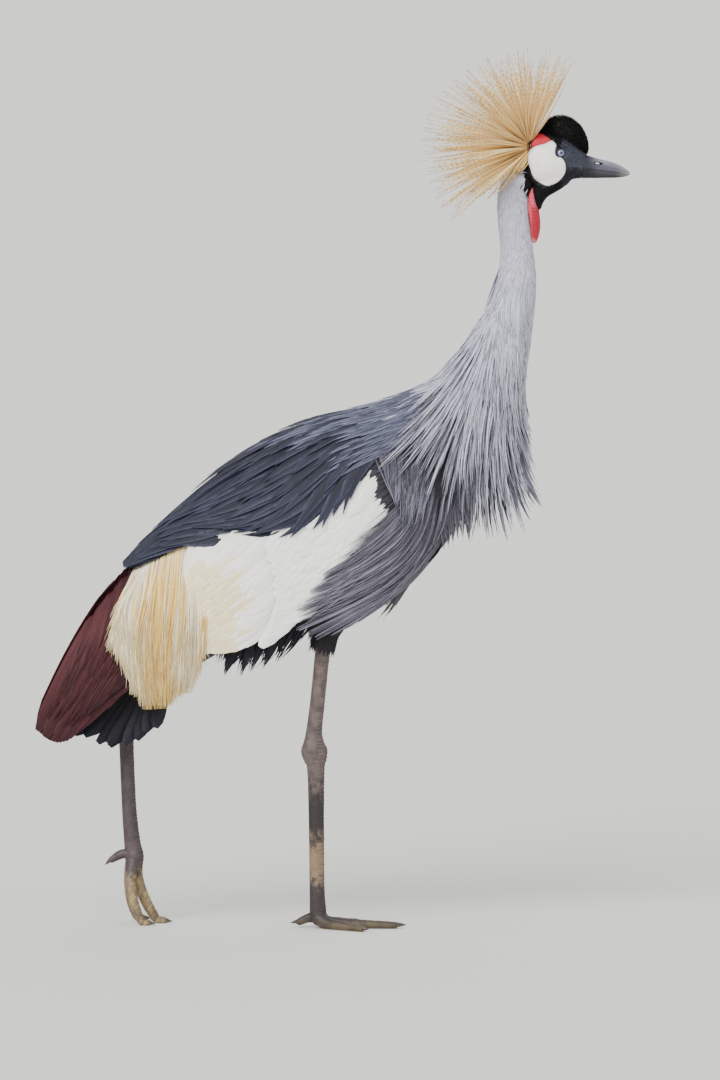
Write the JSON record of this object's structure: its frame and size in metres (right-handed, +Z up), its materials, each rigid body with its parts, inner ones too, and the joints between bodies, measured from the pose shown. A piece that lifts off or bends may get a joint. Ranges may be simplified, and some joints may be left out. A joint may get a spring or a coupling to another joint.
{
  "type": "grey crowned crane",
  "caption": "Life-size grey crowned crane in mid-stride: golden crest, black cap, white cheek, red throat, grey neck plumes, white wing coverts and long legs.",
  "frame": {"origin": "on the floor, under the middle of the box that holds the bird", "axes": "+X ahead of the bird, +Y to its left, +Z up"},
  "size_m": [0.732, 0.2028, 1.0956],
  "materials": {
    "neck_grey": "matt feather",
    "breast_slate": "matt feather",
    "belly_black": "matt feather",
    "scapular_slate": "satin feather",
    "covert_white": "matt feather",
    "plume_straw": "silky feather",
    "secondary_chestnut": "satin feather",
    "tail_black": "satin feather",
    "thigh_black": "matt feather",
    "crest_gold": "stiff bristles",
    "cap_velvet": "velvet down",
    "face_black": "matt skin and down",
    "cheek_white": "bare skin",
    "throat_red": "bare skin",
    "bill_horn": "satin horn",
    "claw_dark": "satin horn",
    "leg_grey": "dry scales",
    "eye_blue": "wet gloss"
  },
  "bodies": {
    "root": {"bill_lower": "bill_horn", "bill_upper": "bill_horn", "breast": "breast_slate", "cheek_left": "cheek_white", "cheek_right": "cheek_white", "claw_hind_left": "claw_dark", "claw_hind_right": "claw_dark", "claw_inner_left": "claw_dark", "claw_inner_right": "claw_dark", "claw_middle_left": "claw_dark", "claw_middle_right": "claw_dark", "claw_outer_left": "claw_dark", "claw_outer_right": "claw_dark", "crest": "crest_gold", "crown_cap": "cap_velvet", "eye_left": "eye_blue", "eye_right": "eye_blue", "foot_left": "leg_grey", "foot_right": "leg_grey", "head": "face_black", "neck_lower": "neck_grey", "neck_middle": "neck_grey", "neck_upper": "neck_grey", "scapulars_left": "scapular_slate", "scapulars_right": "scapular_slate", "secondaries_left": "secondary_chestnut", "secondaries_right": "secondary_chestnut", "shank_left": "leg_grey", "shank_right": "leg_grey", "tail": "tail_black", "tarsus_left": "leg_grey", "tarsus_right": "leg_grey", "thigh_left": "thigh_black", "thigh_right": "thigh_black", "throat_wattle": "throat_red", "torso": "belly_black", "wing_coverts_left": "covert_white", "wing_coverts_right": "covert_white", "wing_plumes_left": "plume_straw", "wing_plumes_right": "plume_straw"}
  },
  "joints": []
}
